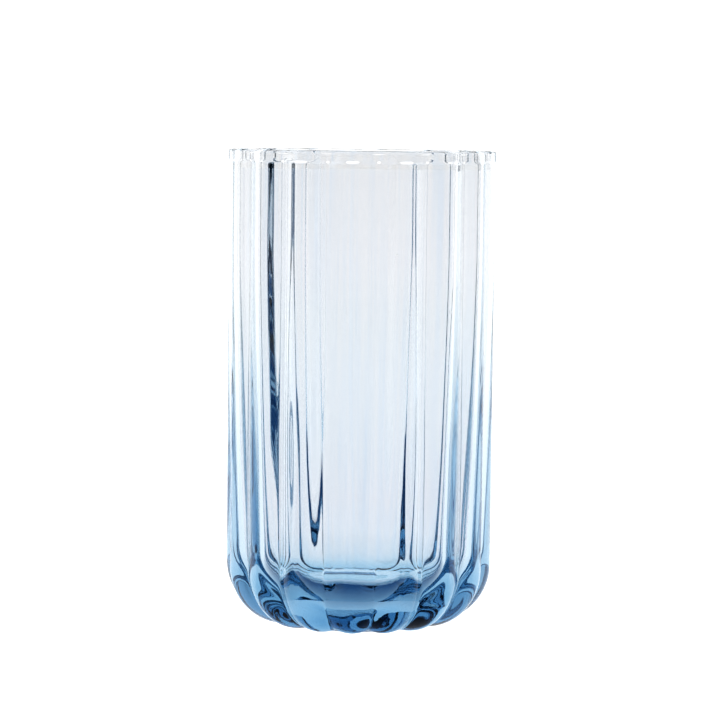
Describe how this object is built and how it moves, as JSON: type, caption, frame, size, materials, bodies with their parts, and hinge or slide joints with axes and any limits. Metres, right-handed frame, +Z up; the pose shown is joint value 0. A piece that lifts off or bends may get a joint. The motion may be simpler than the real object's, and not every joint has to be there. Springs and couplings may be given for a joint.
{
  "type": "bud vase",
  "caption": "Straight fluted glass vase with a rounded heavy base, a round lip and an open hollow for water and cut stems, clear at the lip and blue at the base.",
  "frame": {"origin": "centre of the foot, on the surface the vase stands on", "axes": "+Z up along the vase's axis; the middle of a flute faces -Y, and another faces +X"},
  "size_m": [0.0746, 0.0746, 0.132],
  "materials": {
    "tinted_glass": "polished clear glass, colourless at the lip and shading to blue at the base"
  },
  "bodies": {
    "root": {"vase_body": "tinted_glass"}
  },
  "joints": []
}
